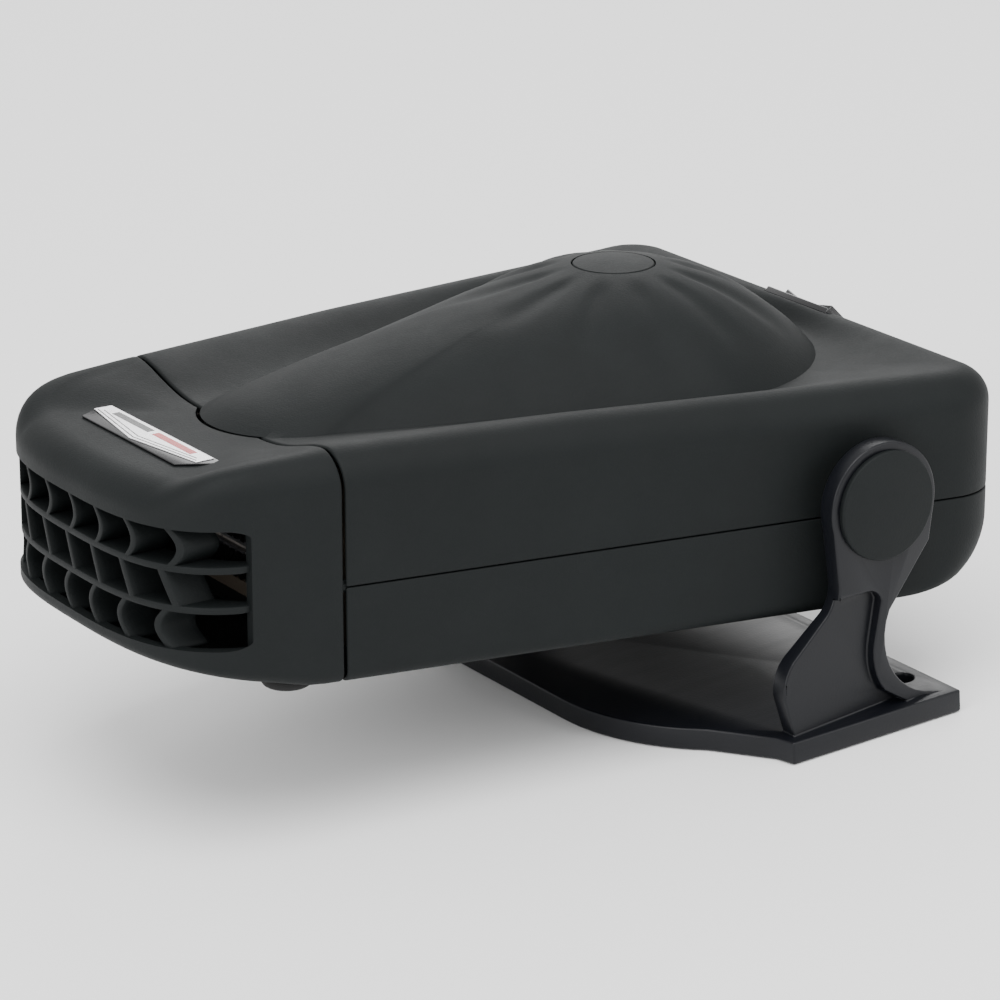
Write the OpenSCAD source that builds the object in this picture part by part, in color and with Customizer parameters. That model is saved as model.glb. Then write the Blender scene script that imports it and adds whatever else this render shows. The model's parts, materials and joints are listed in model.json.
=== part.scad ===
// Portable 12 V cabin heater and defroster on a tilting yoke bracket.
// The row frame stands on the bracket's underside, below the tilt axis.
// X points to the rear, Y across and Z up. The housing is drawn in its own frame,
// whose origin is the tilt axis, and in_heater() puts that frame in place.

/* [Stance] */
// Height of the tilt axis above the mounting surface
pivot_h = 49.5; // [48:0.5:60]
// Upward tilt of the stored housing, in degrees
rest_tilt = 3.5; // [0:0.5:8]

/* [Housing] */
// Tilt axis to the joint of the nose cap
seam_front = 112; // [104:1:130]
// Length of the curved nose in front of the straight sides
nose_len = 31.5; // [22:1:32]
// Tilt axis to the rear face
rear_len = 36.5; // [34:0.5:38]
// Half width where the nose begins to curve
nose_half = 42; // [38:0.5:44]
// Half width at the rear corners
rear_half = 66.2; // [65:0.2:66.4]
// Height of the top deck above the tilt axis
top_z = 23; // [21:0.5:26]
// Depth of the underside below the tilt axis
bottom_z = 24; // [22:0.5:26]
// Height of the deck inside the raised side edges
deck_h = 18.3; // [16:0.5:20]
// Rise of the underside towards the front of the nose
nose_rise = 7; // [0:0.5:8]
// Wall thickness of the shells
wall = 2.2; // [1.8:0.1:2.6]
// Radius of the top edge
top_fillet = 7.5; // [5:0.5:9]
// Radius of the rear bottom edge
rear_round = 14; // [10:1:16]

/* [Dome] */
// Tilt axis forward to the centre of the dome
dome_back = 18.5; // [17:0.5:22]
// Radius of the dome on the deck
dome_r = 43; // [36:0.5:44]
// Height of the dome's crown above the tilt axis
crown_z = 38.2; // [34:0.5:40]
// Radius of the inset disc in the crown
disc_r = 9; // [8:0.2:13]
// Radius of the rounded tip of the teardrop
tip_r = 18; // [13:0.5:18]

/* [Outlet] */
// Rows of openings in the outlet grille
grille_rows = 3; // [2:1:4]
// Columns of openings in the outlet grille
grille_columns = 8; // [5:1:10]
// Thickness of a grille rib
rib_t = 1.4; // [1:0.1:2]

/* [Bracket] */
// Thickness of the base plate
plate_t = 4.8; // [4:0.5:6]
// Half width of the base plate
plate_half = 73; // [72:0.25:76]
// Inner face of each arm from the middle plane
arm_in = 66.3; // [66.1:0.1:66.8]
// Outer face of each arm from the middle plane
arm_out = 70.6; // [70.2:0.1:71.2]
// Radius of the arm's head
head_r = 13.2; // [12:0.2:14.5]
// Radius of the pivot caps
cap_r = 11.6; // [11:0.1:12]
// Half distance between the two mounting holes
hole_y = 60; // [57:0.5:62]
// Radius of the mounting holes
hole_r = 2.6; // [2:0.1:3]

/* [Fan] */
// Tilt axis forward to the fan's axis
fan_back = 24; // [20:0.5:26]
// Radius of the fan wheel
wheel_r = 36; // [30:1:38]
// Number of fan blades
blades = 24; // [12:1:30]
// Radius of the motor can
motor_r = 13; // [11:0.5:15]

/* [Hidden] */
far = 200;
black = [0.07, 0.08, 0.085];

// Housing
edge_r = 2.5;
corner_r = 12;
nose_x = 118;
nose_power = 3;
nose_turn = 101;
rear_drop = 0.065;
side_stops = [0.07, 0.2, 0.35, 0.5, 0.63, 0.75, 0.86, 0.94];
rear_stops = [-46, -34, -22, -11, 0, 11, 22, 34, 46];
brow_half = 31;
brow_end = 8;
valley = 0.3;
nose_steps = 32;
corner_steps = 6;
side_a = atan((rear_half - nose_half) / (rear_len - corner_r + nose_x));
seam_gap = 0.6;
floor_z = -bottom_z + wall;
deck_z = deck_h - wall;
parting = -4;

// Dome
cap_h = crown_z - deck_h;
tip_x = seam_front + 4.3 - tip_r;
tip_h = 4;
tongue_z = deck_h - wall;

// Outlet
mouth_x = 131;
mouth_low = -14;
mouth_high = 10.5;
mouth_half = 41;
rim = 1.4;
grille_depth = 7;

// Badge
badge_x = -131;
badge_half = 24;
badge_t = 0.5;
badge_z = deck_h + 0.02;
inlay_half = 21;

// Bracket
plate_front = 49.5;
plate_rear = 17;
hole_x = 11.5;
plate_top = plate_t - pivot_h;
shoulder_r = 4;
bore_play = 0.05;
cap_t = 1.5;
counter_r = 9.4;
counter_y = arm_out - 2.6;
washer_t = 1.5;
boss_y = arm_in - 0.1 - washer_t;
boss_in = 54;
boss_r = 9.5;
insert_r = 5;
thread_r = 2.4;
screw_head_r = 7;
screw_head_t = 2.1;

// Guard under the fan
guard_r = 46.5;
guard_drop = 4.5;
guard_hole = 44;

// Fan and its motor, from the tilt axis
wheel_top = -1;
wheel_low = -18.5;
shaft_r = 1.5;
deck_low = 3;
deck_high = 5;
motor_top = 26;
post_r = 4;
post_xy = [[26, 42], [26, -42], [-26, 42], [-26, -42]];
scroll_r = 42;
scroll_t = 1.5;

// Heater core
core_back = 106;
core_front = 90;
core_half = 31;
core_low = floor_z;
core_bar = 3;
stone_t = 1.2;
plate_strip = 0.6;
fin_h = 6.1;
fin_wall = 0.3;
stone_rows = 3;
stones_in_row = 5;
row_h = stone_t + 2 * plate_strip;
stack_h = stone_rows * row_h + (stone_rows + 1) * fin_h;
core_high = core_low + 2 * core_bar + stack_h;

// Switch seat on the rear top edge, in the housing's frame
seat_x = rear_len - top_fillet + 4.4;
seat_z = top_z - top_fillet + 2;
bezel_w = 11;
bezel_l = 22;
bezel_t = 1.5;
bezel_depth = 3;
switch_h = 8;
tag_h = 3.4;
tag_y = [-6, 0, 6];
pin_r = 1;

// Centre of the cable gland on the rear face
gland_y = -28;
gland_z = -5;

screw_xy = [[22, 48], [22, -48], [-74, 38], [-74, -38]];

module in_heater() {
    translate([0, 0, pivot_h]) rotate([0, rest_tilt, 0]) children();
}

module in_seat() {
    in_heater() translate([seat_x, 0, seat_z]) rotate([0, 45, 0]) children();
}

module at_fan() {
    in_heater() translate([-fan_back, 0, 0]) children();
}

// Points of an arc about [x, y] in n steps
function arc(x, y, r, from, to, n) =
    [for (i = [0:n]) let (a = from + (to - from) * i / n) [x + r * cos(a), y + r * sin(a)]];

function power(v, n) = sign(v) * pow(abs(v), n);

// The nose in plan, inset by d from the outer surface
function nose_points(d) = [for (i = [0:nose_steps])
    let (a = nose_turn + (360 - 2 * nose_turn) * i / nose_steps)
    [-nose_x + (nose_len - d) * power(cos(a), 2 / nose_power),
     (nose_half - d) * power(sin(a), 2 / nose_power)]];

// The whole housing in plan, inset by d, with its rear face at x = rear
function plan_points(rear, d) = let (
    nose = nose_points(d),
    near = arc(rear - corner_r, corner_r - rear_half, corner_r - d, -90 - side_a, 0, corner_steps),
    a = nose[len(nose) - 1],
    sides = [for (u = side_stops) a + (near[0] - a) * u],
    n = len(sides) - 1)
    concat(nose, sides, near,
        [for (y = rear_stops) [rear - d, y]],
        [for (i = [corner_steps:-1:0]) [near[i].x, -near[i].y]],
        [for (i = [n:-1:0]) [sides[i].x, -sides[i].y]]);

// Levels of the housing from the bottom up, as height, rear face and inset
function levels(d) = concat(
    [for (a = [0, 20, 36, 54, 72, 90]) let (
        h = (rear_round - d) * (1 - cos(a)),
        left = max(0, edge_r - h))
        [d - bottom_z + h, rear_len - (rear_round - d) * (1 - sin(a)),
         d + edge_r - sqrt(edge_r * edge_r - left * left)]],
    [for (i = [0:4]) let (a = i * 22.5)
        [top_z - top_fillet + (top_fillet - d) * sin(a), rear_len,
         d + (top_fillet - d) * (1 - cos(a))]]);

// How far along the nose x lies, from 0 at its start to 1 at its front
function along_nose(x) = max(0, (-x - nose_x) / nose_len);

// The brow dips to the deck in the middle, the crest falls a little to the rear,
// and the underside rises to the front
function shaped_z(p, z) = z > 0
    ? z * (p.x > -seam_front ? 1 - rear_drop * max(0, min(1, (p.x + 60) / 80))
        : 1 - (1 - deck_h / top_z)
        * (1 - pow(min(1, max(0, (abs(p.y) - brow_half) / brow_end)), 2)))
    : z * (1 - nose_rise / bottom_z * along_nose(p.x));

// The point of the teardrop's edge that faces p, grown by d
function facing(p, d) = let (
    x = min(-dome_back, max(-tip_x, p.x)),
    u = (x + tip_x) / (tip_x - dome_back),
    v = [p.x - x, p.y] / norm([p.x - x, p.y]))
    [x, 0] + v * (tip_r + (dome_r - tip_r) * u + d);

// The whole housing without the dome, inset by d, as stacked rings
module housing(d) {
    outer = [for (v = levels(d)) [for (p = plan_points(v[1], v[2])) [p.x, p.y, shaped_z(p, v[0])]]];
    floor_ring = [for (p = outer[0]) [max(-40 + (p.x + 40) * 0.97, -nose_x), p.y * 0.97,
        d - bottom_z]];
    deck_ring = [for (p = outer[len(outer) - 1]) let (f = facing(p, valley - d / 2))
        [f.x, f.y, deck_h - d]];
    rings = concat([floor_ring], outer, [deck_ring]);
    n = len(floor_ring);
    last = len(rings) - 1;
    points = concat([for (r = rings) each r], [[-40, 0, d - bottom_z], [-40, 0, deck_h - d]]);
    sides = [for (j = [0:last - 1]) for (i = [0:n - 1]) let (k = (i + 1) % n)
        each [[j * n + i, j * n + n + i, j * n + k], [j * n + k, j * n + n + i, j * n + n + k]]];
    caps = [for (i = [0:n - 1]) let (k = (i + 1) % n)
        each [[i, k, (last + 1) * n], [last * n + k, last * n + i, (last + 1) * n + 1]]];
    polyhedron(points, concat(sides, caps));
}

// A spherical cap of base radius r and height h, on a short wall
module cap(r, h, base) {
    ball = (r * r + h * h) / (2 * h);
    top_a = asin(r / ball);
    rotate_extrude($fn = 64) polygon(concat([[0, -base], [r, -base]],
        [for (i = [0:5]) let (a = top_a * (1 - i / 6)) [ball * sin(a), h - ball + ball * cos(a)]],
        [[0, h]]));
}

// The teardrop dome with its tongue, shrunk by d
module teardrop(d) {
    hull() {
        translate([-dome_back, 0, deck_h - d]) cap(dome_r - d, cap_h, wall);
        translate([-tip_x, 0, deck_h - d]) cap(tip_r - d, tip_h, wall);
    }
}

// Plan of the teardrop, grown by d
module teardrop_plan(d) {
    hull() {
        translate([-dome_back, 0]) circle(dome_r + d, $fn = 64);
        translate([-tip_x, 0]) circle(tip_r + d, $fn = 64);
    }
}

module side_boss(y0, y1, r) {
    for (s = [-1, 1]) translate([0, s * (y0 + y1) / 2, 0]) rotate([90, 0, 0])
        cylinder(r = r, h = y1 - y0, center = true);
}

// Flat seats in the sides for the friction washers
module washer_seats() {
    side_boss(boss_y, boss_y + 6, boss_r + 0.4);
}

// Hole for the cable gland, on the parting line of the shells
module gland_bore() {
    translate([rear_len - 10, gland_y, gland_z]) rotate([0, 90, 0])
        cylinder(r = 4.5, h = 20, $fn = 48);
}

module behind_seam() {
    translate([-seam_front + seam_gap / 2, -far, -far]) cube([far * 2, far * 2, far * 2]);
}

// Bracket: base plate and two arms in one piece
module plate_plan() {
    half = concat(arc(-plate_front + 45.5, -23, 45.5, 180, 226, 12),
        [[-27.5, -plate_half + 4.6], [-26.4, -plate_half], [plate_rear, -plate_half]]);
    polygon(concat(half, [for (i = [len(half) - 1:-1:0]) [half[i].x, -half[i].y]]));
}

module arm_plan() {
    polygon(concat(arc(0, 0, head_r, -15, 195, 28),
        arc(-19.8, -15.5, 8, 0, -45, 5),
        arc(-17.4, -35.2, 9.2, 135, 185, 5),
        [[-24, plate_top - 1], [14.5, plate_top - 1]],
        arc(14.5, plate_top + 15, 15, 270, 155, 12),
        [[11.4, -10.5]]));
}

// The recess in an arm's outer face, with its floor sloping in to the rear
module arm_pocket() {
    wall_line = concat(arc(-4.6, -21.4, 3.4, 90, 10, 5), arc(10.6, -32.6, 14.2, 165, 215, 6),
        [[4.6, plate_top]]);
    intersection() {
        rotate([90, 0, 0]) linear_extrude(far) polygon(concat([[-40, -18]], wall_line,
            [[-40, plate_top]]));
        translate([-26, -arm_out, 0]) rotate([0, 0, 6]) translate([0, -20, -80])
            cube([60, 20, 80]);
    }
}

module arm() {
    difference() {
        translate([0, -arm_in, 0]) rotate([90, 0, 0]) linear_extrude(arm_out - arm_in) arm_plan();
        arm_pocket();
        translate([0, -arm_in, 0]) rotate([90, 0, 0])
            cylinder(r = shoulder_r + bore_play, h = 20, center = true, $fn = 64);
        translate([0, -counter_y, 0]) rotate([90, 0, 0]) cylinder(r = counter_r, h = 10, $fn = 64);
    }
}

module yoke_bracket() {
    color(black) difference() {
        union() {
            translate([0, 0, 0]) linear_extrude(plate_t) plate_plan();
            for (s = [0, 1]) mirror([0, s, 0]) translate([0, 0, pivot_h]) arm();
        }
        for (s = [-1, 1]) translate([hole_x, s * hole_y, -1])
            cylinder(r = hole_r, h = plate_t + 2, $fn = 48);
    }
}

module pivot_caps() {
    color(black) for (s = [0, 1]) mirror([0, s, 0]) translate([0, -arm_out, pivot_h])
        rotate([90, 0, 0]) {
            rotate_extrude($fn = 64) polygon(concat([[0, 0], [cap_r, 0]],
                arc(cap_r - 0.5, cap_t - 0.5, 0.5, 0, 90, 4), [[0, cap_t]]));
            translate([0, 0, -1.5]) difference() {
                cylinder(r = counter_r, h = 1.5, $fn = 64);
                translate([0, 0, -1]) cylinder(r = counter_r - 1.2, h = 2.5, $fn = 64);
            }
        }
}

module shell_screw_posts(z0, z1, r) {
    for (p = screw_xy) translate([p.x, p.y, z0]) cylinder(r = r, h = z1 - z0, $fn = 32);
}

module upper_shell() {
    color(black) in_heater() difference() {
        union() {
            intersection() {
                difference() {
                    union() {
                        housing(0);
                        teardrop(0);
                    }
                    housing(wall);
                    teardrop(wall);
                }
                union() {
                    intersection() {
                        behind_seam();
                        translate([-far, -far, parting]) cube(far * 2);
                    }
                    translate([0, 0, tongue_z]) linear_extrude(far) teardrop_plan(0);
                }
            }
            intersection() {
                side_boss(boss_in, boss_y, boss_r);
                translate([-20, -far, parting]) cube([40, far * 2, 20]);
            }
            intersection() {
                housing(wall / 2);
                shell_screw_posts(parting, top_z, 3.5);
            }
        }
        side_boss(boss_in - 1, boss_y + 1, insert_r);
        shell_screw_posts(parting - 1, 12, 1.2);
        gland_bore();
        washer_seats();
        translate([-dome_back, 0, crown_z - 1.2]) cylinder(r = disc_r, h = 10, $fn = 64);
        translate([seat_x, 0, seat_z]) rotate([0, 45, 0]) {
            translate([-bezel_w / 2, -bezel_l / 2, 0]) cube([bezel_w, bezel_l, 20]);
            translate([-bezel_w / 2 + 1.2, -bezel_l / 2 + 1.2, -10])
                cube([bezel_w - 2.4, bezel_l - 2.4, 20]);
        }
    }
}

module dome_disc() {
    color(black) in_heater() translate([-dome_back, 0, crown_z - 1.2]) {
        rotate_extrude($fn = 64) polygon([[0, 0], [disc_r - 0.3, 0], [disc_r - 0.3, 0.7],
            [disc_r - 0.6, 1], [0, 1.2]]);
    }
}

module lower_shell() {
    color(black) in_heater() difference() {
        union() {
            intersection() {
                difference() {
                    housing(0);
                    housing(wall);
                }
                behind_seam();
                translate([-far, -far, -far]) cube([far * 2, far * 2, far + parting]);
            }
            intersection() {
                side_boss(boss_in, boss_y, boss_r);
                translate([-20, -far, -20]) cube([40, far * 2, 20 + parting]);
            }
            shell_screw_posts(floor_z - 0.5, parting, 4);
            for (p = post_xy) translate([p.x - fan_back, p.y, floor_z - 0.5])
                cylinder(r = post_r, h = deck_low - floor_z + 0.5, $fn = 32);
        }
        side_boss(boss_in - 1, boss_y + 1, insert_r);
        washer_seats();
        shell_screw_posts(-far, parting + 1, 1.6);
        shell_screw_posts(-far, floor_z, 3);
        translate([-fan_back, 0, -far]) cylinder(r = guard_hole, h = far, $fn = 96);
        gland_bore();
    }
}

module nose_cap() {
    color(black) in_heater() difference() {
        intersection() {
            difference() {
                housing(0);
                housing(wall);
            }
            translate([-far - seam_front - seam_gap / 2, -far, -far]) cube([far, far * 2, far * 2]);
        }
        translate([0, 0, tongue_z - 1]) linear_extrude(far) teardrop_plan(seam_gap);
        translate([-far - mouth_x, -mouth_half, mouth_low])
            cube([far, 2 * mouth_half, mouth_high - mouth_low]);
        for (s = [-1, 1]) translate([-seam_front - 7, s * (nose_half - 9), -far])
            cylinder(r = 2, h = far, $fn = 32);
    }
}

// Middle line of one rib in front view, bowed differently in each row
module grille_front() {
    row_h2 = (mouth_high - mouth_low) / grille_rows;
    pitch = 2 * mouth_half / grille_columns;
    for (z = [mouth_low, mouth_high]) translate([-mouth_half, z]) square([2 * mouth_half, rim]);
    for (j = [1:grille_rows - 1]) translate([-mouth_half, mouth_low + j * row_h2 - rib_t / 2])
        square([2 * mouth_half, rib_t]);
    for (j = [0:grille_rows - 1]) for (i = [0:grille_columns]) {
        bow = j == 1 ? 0 : (j == 0 ? -1 : 1) * 2.2;
        lean = j == 1 ? -3 : 0;
        mid = [for (k = [0:6]) let (t = k / 6) [-mouth_half + i * pitch + bow * sin(180 * t)
            - lean * (t - 0.5), mouth_low + (j + t) * row_h2]];
        translate([rib_t / 2, 0]) polygon(concat(mid,
            [for (k = [6:-1:0]) [mid[k].x - rib_t, mid[k].y]]));
    }
}

// The part of the front pattern that lies between two insets of the nose
module grille_band(outer, inner, reach) {
    intersection() {
        rotate([90, 0, -90]) translate([0, 0, seam_front]) linear_extrude(60)
            mirror([1, 0]) intersection() {
                grille_front();
                translate([-mouth_half - reach, mouth_low - reach])
                    square([2 * (mouth_half + reach), mouth_high - mouth_low + 2 * reach]);
            }
        difference() {
            translate([0, 0, -bottom_z]) linear_extrude(2 * bottom_z) polygon(nose_points(outer));
            translate([0, 0, -far]) linear_extrude(far * 2) polygon(nose_points(inner));
            translate([-mouth_x + (reach > 0 ? 4 : 0.02), -far, -far]) cube(far * 2);
        }
    }
}

module outlet_grille() {
    color(black) in_heater() {
        grille_band(wall, wall + grille_depth, rim);
        grille_band(0.5, wall + 1, -0.02);
    }
}

module badge_plate() {
    color([0.02, 0.02, 0.02]) in_heater() translate([badge_x, 0, badge_z])
        linear_extrude(badge_t) polygon([[4, -badge_half], [4, badge_half], [-4.5, badge_half - 5],
            [-4.5, 5 - badge_half]]);
}

module badge_inlay() {
    color([0.75, 0.75, 0.76]) in_heater() translate([badge_x, 0, badge_z + badge_t])
        linear_extrude(0.25) polygon([[3.4, -inlay_half], [3.4, inlay_half], [-0.7, inlay_half],
            [-4, 0], [-0.7, -inlay_half]]);
}

module front_feet() {
    color([0.04, 0.04, 0.04]) in_heater() for (s = [-1, 1])
        translate([-seam_front - 7, s * (nose_half - 9), -bottom_z]) rotate_extrude($fn = 48)
            polygon(concat([[0, -2]], arc(4, -0.8, 1.2, -90, 0, 4), [[5.2, 0], [1.95, 0],
                [1.95, wall + 1], [0, wall + 1]]));
}

module intake_guard() {
    color(black) at_fan() difference() {
        union() {
            translate([0, 0, -bottom_z - guard_drop]) rotate_extrude($fn = 96)
                polygon(concat([[0, 0]], arc(guard_r - 2, 2, 2, -90, 0, 5),
                    [[guard_r, guard_drop], [guard_hole - 0.05, guard_drop],
                    [guard_hole - 0.05, guard_drop + wall], [0, guard_drop + wall]]));
        }
        translate([0, 0, -bottom_z - guard_drop + 2]) cylinder(r = guard_hole - 2, h = 20, $fn = 96);
        for (i = [0:23]) rotate([0, 0, i * 15]) translate([28, -1.6, -far])
            cube([12, 3.2, far]);
        for (i = [0:11]) rotate([0, 0, i * 30]) translate([12, -1.6, -far])
            cube([12, 3.2, far]);
        for (i = [0:23]) rotate([0, 0, i * 15 + 7.5]) translate([guard_hole - 3, -1.6,
            -bottom_z - guard_drop + 2.5]) cube([10, 3.2, guard_drop - 3]);
    }
}

module pivot_inserts() {
    color([0.8, 0.65, 0.3]) in_heater() difference() {
        side_boss(boss_in, boss_y, insert_r);
        side_boss(boss_in - 1, boss_y + 1, thread_r);
    }
}

module pivot_screws() {
    color([0.6, 0.6, 0.62]) in_heater() {
        side_boss(boss_in + 1, boss_y, thread_r - 0.05);
        side_boss(boss_y, counter_y + 0.1, shoulder_r);
        difference() {
            side_boss(counter_y + 0.1, counter_y + 0.1 + screw_head_t, screw_head_r);
            for (s = [-1, 1]) rotate([0, 45, 0]) translate([0, s * (counter_y + screw_head_t + 4.4), 0])
                for (a = [0, 90]) rotate([0, a, 0]) cube([7, 10, 1.2], center = true);
        }
    }
}

module friction_washers() {
    color([0.85, 0.84, 0.78]) in_heater() difference() {
        side_boss(boss_y, boss_y + washer_t, boss_r - 0.5);
        side_boss(boss_y - 1, boss_y + washer_t + 1, shoulder_r);
    }
}

module switch_bezel() {
    color([0.03, 0.03, 0.03]) in_seat() difference() {
        union() {
            translate([-bezel_w / 2, -bezel_l / 2, 0]) cube([bezel_w, bezel_l, bezel_t]);
            translate([-bezel_w / 2 + 1.3, -bezel_l / 2 + 1.3, -bezel_depth])
                cube([bezel_w - 2.6, bezel_l - 2.6, bezel_depth]);
        }
        translate([-bezel_w / 2 + 2.3, -bezel_l / 2 + 2.3, -4])
            cube([bezel_w - 4.6, bezel_l - 4.6, 10]);
        rotate([0, 90, 0]) cylinder(r = pin_r + bore_play, h = bezel_w - 2.7, center = true, $fn = 32);
    }
}

module rocker() {
    color([0.05, 0.05, 0.05]) in_seat() {
        intersection() {
            rotate([0, 90, 0]) linear_extrude(bezel_w - 5.2, center = true)
                polygon([[-1.6, 0], [-3.4, 8.1], [1.4, 8.1], [2, 0], [1.4, -8.1], [-3.4, -8.1]]);
            cube([bezel_w, 16.2, 12], center = true);
        }
        rotate([0, 90, 0]) cylinder(r = pin_r, h = bezel_w - 3, center = true, $fn = 32);
    }
}

module switch_body() {
    color([0.06, 0.06, 0.06]) in_seat()
        translate([-bezel_w / 2 + 1.3, -bezel_l / 2 + 1.3, -bezel_depth - switch_h])
            cube([bezel_w - 2.6, bezel_l - 2.6, switch_h]);
}

module switch_terminals() {
    color([0.8, 0.8, 0.78]) in_seat() for (y = tag_y)
        translate([-0.4, y - 1.6, -bezel_depth - switch_h - tag_h]) cube([0.8, 3.2, tag_h]);
}

module motor_plate() {
    color([0.12, 0.12, 0.12]) at_fan() difference() {
        union() {
            translate([0, 0, deck_low]) cylinder(r = scroll_r + scroll_t, h = deck_high - deck_low, $fn = 96);
            for (p = post_xy) rotate([0, 0, atan2(p.y, p.x)]) {
                translate([scroll_r, -post_r, deck_low])
                    cube([norm(p) - scroll_r, 2 * post_r, deck_high - deck_low]);
                translate([norm(p), 0, deck_low]) cylinder(r = post_r, h = deck_high - deck_low, $fn = 32);
            }
        }
        translate([0, 0, deck_low - 1]) cylinder(r = 5, h = 5, $fn = 48);
        for (s = [-1, 1]) translate([s * 8.5, 0, deck_low - 1]) cylinder(r = 1.3, h = 5, $fn = 24);
    }
}

module fan_motor() {
    color([0.62, 0.63, 0.64]) at_fan() difference() {
        union() {
            translate([0, 0, deck_high]) cylinder(r = motor_r, h = motor_top - deck_high, $fn = 64);
            translate([0, 0, deck_low]) cylinder(r = 5, h = 2, $fn = 48);
            translate([0, 0, motor_top]) cylinder(r = 4, h = 1.6, $fn = 48);
            for (s = [-1, 1]) translate([-1.2, s * 8 - 0.3, motor_top]) cube([2.4, 0.6, 3]);
        }
        translate([0, 0, deck_low - 1]) cylinder(r = shaft_r + bore_play, h = 40, $fn = 48);
        for (s = [-1, 1]) translate([s * 8.5, 0, deck_high - 1]) cylinder(r = 1.3, h = 5, $fn = 24);
    }
}

module motor_screws() {
    color([0.7, 0.7, 0.72]) at_fan() for (s = [-1, 1]) translate([s * 8.5, 0, 0]) {
        translate([0, 0, deck_low]) cylinder(r = 1.25, h = 5, $fn = 24);
        difference() {
            translate([0, 0, deck_low - 1.4]) cylinder(r = 2.4, h = 1.4, $fn = 32);
            translate([-3, -0.3, deck_low - 2]) cube([6, 0.6, 1.2]);
        }
    }
}

module fan_wheel() {
    color([0.1, 0.1, 0.1]) at_fan() difference() {
        union() {
            translate([0, 0, wheel_top - 1.2]) cylinder(r = wheel_r, h = 1.2, $fn = 96);
            translate([0, 0, -12]) cylinder(r = 6, h = wheel_top + 12, $fn = 48);
            difference() {
                translate([0, 0, wheel_low]) cylinder(r = wheel_r, h = 1.2, $fn = 96);
                translate([0, 0, wheel_low - 1]) cylinder(r = wheel_r - 9, h = 4, $fn = 96);
            }
            for (i = [0:blades - 1]) rotate([0, 0, i * 360 / blades])
                translate([wheel_r - 9, 0, wheel_low + 0.6]) rotate([0, 0, 28])
                    translate([0, -0.5, 0]) cube([9.2, 1, wheel_top - wheel_low - 1.2]);
        }
        translate([0, 0, -20]) cylinder(r = shaft_r, h = 30, $fn = 48);
    }
}

module fan_shaft() {
    color([0.75, 0.75, 0.77]) at_fan() translate([0, 0, -11.5]) cylinder(r = shaft_r, h = 42, $fn = 48);
}

// Scroll wall round the wheel, open to the front and led to the core
module fan_scroll() {
    throat = 27;
    color([0.11, 0.11, 0.11]) in_heater() {
        translate([0, 0, floor_z]) linear_extrude(deck_low - floor_z) difference() {
            union() {
                translate([-fan_back, 0]) circle(scroll_r + scroll_t, $fn = 96);
                translate([-core_front, -throat - scroll_t])
                    square([core_front - fan_back, 2 * (throat + scroll_t)]);
            }
            translate([-fan_back, 0]) circle(scroll_r, $fn = 96);
            translate([-far, -throat]) square([far - fan_back, 2 * throat]);
        }
    }
}

module core_frame() {
    color([0.16, 0.14, 0.12]) in_heater() difference() {
        translate([-core_back, -core_half, core_low])
            cube([core_back - core_front, 2 * core_half, core_high - core_low]);
        translate([-core_back - 1, -core_half + core_bar, core_low + core_bar])
            cube([core_back - core_front + 2, 2 * (core_half - core_bar), stack_h]);
        for (j = [0:stone_rows - 1]) translate([-core_back + 4, core_half - core_bar - 1,
            core_low + core_bar + fin_h * (j + 1) + row_h * j])
            cube([8, core_bar + 2, row_h]);
    }
}

function stone_z(j) = core_low + core_bar + fin_h * (j + 1) + row_h * j;

module ptc_stones() {
    w = 2 * (core_half - core_bar) / stones_in_row;
    color([0.35, 0.33, 0.3]) in_heater() for (j = [0:stone_rows - 1])
        for (i = [0:stones_in_row - 1])
            translate([-core_back + 1, -core_half + core_bar + i * w + 0.3, stone_z(j) + plate_strip])
                cube([core_back - core_front - 2, w - 0.6, stone_t]);
}

module electrode_plates() {
    color([0.82, 0.83, 0.84]) in_heater() for (j = [0:stone_rows - 1]) for (k = [0, 1]) {
        z = stone_z(j) + k * (stone_t + plate_strip);
        translate([-core_back, -core_half + core_bar, z]) cube([core_back - core_front,
            2 * (core_half - core_bar), plate_strip]);
        translate([-core_back + 4.5 + k * 4, core_half - core_bar, z])
            cube([3, core_bar + 4, plate_strip]);
    }
}

// One corrugated strip between two electrode plates
module fin_strip() {
    folds = 22;
    w = 2 * (core_half - core_bar) / folds;
    path = [for (i = [0:folds - 1]) each [[i * w, 0], [(i + 0.25) * w, 0],
        [(i + 0.5) * w, fin_h - fin_wall], [(i + 0.75) * w, fin_h - fin_wall]]];
    polygon(concat(path, [for (i = [len(path) - 1:-1:0]) [path[i].x, path[i].y + fin_wall]]));
}

module fin_packs() {
    color([0.8, 0.81, 0.82]) in_heater() for (j = [0:stone_rows])
        translate([-core_back, -core_half + core_bar, core_low + core_bar + (fin_h + row_h) * j])
            rotate([90, 0, 90]) linear_extrude(core_back - core_front) fin_strip();
}

module thermal_cutout() {
    color([0.6, 0.55, 0.45]) in_heater() translate([-core_back + 8, -core_half, 1]) {
        rotate([90, 0, 0]) cylinder(r = 6, h = 3.5, $fn = 48);
        for (s = [-1, 1]) translate([s * 3 - 1, -7, -0.3]) cube([2, 3.5, 0.6]);
    }
}

module cable_gland() {
    color([0.05, 0.05, 0.05]) in_heater() translate([rear_len, gland_y, gland_z]) rotate([0, 90, 0])
        difference() {
            union() {
                translate([0, 0, -wall - 1.5]) cylinder(r = 6, h = 1.3, $fn = 48);
                translate([0, 0, -wall - 1.5]) cylinder(r = 4.45, h = wall + 6, $fn = 48);
                cylinder(r = 6, h = 1.5, $fn = 48);
            }
            translate([0, 0, -10]) cylinder(r = 2.5, h = 30, $fn = 48);
        }
}

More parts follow.
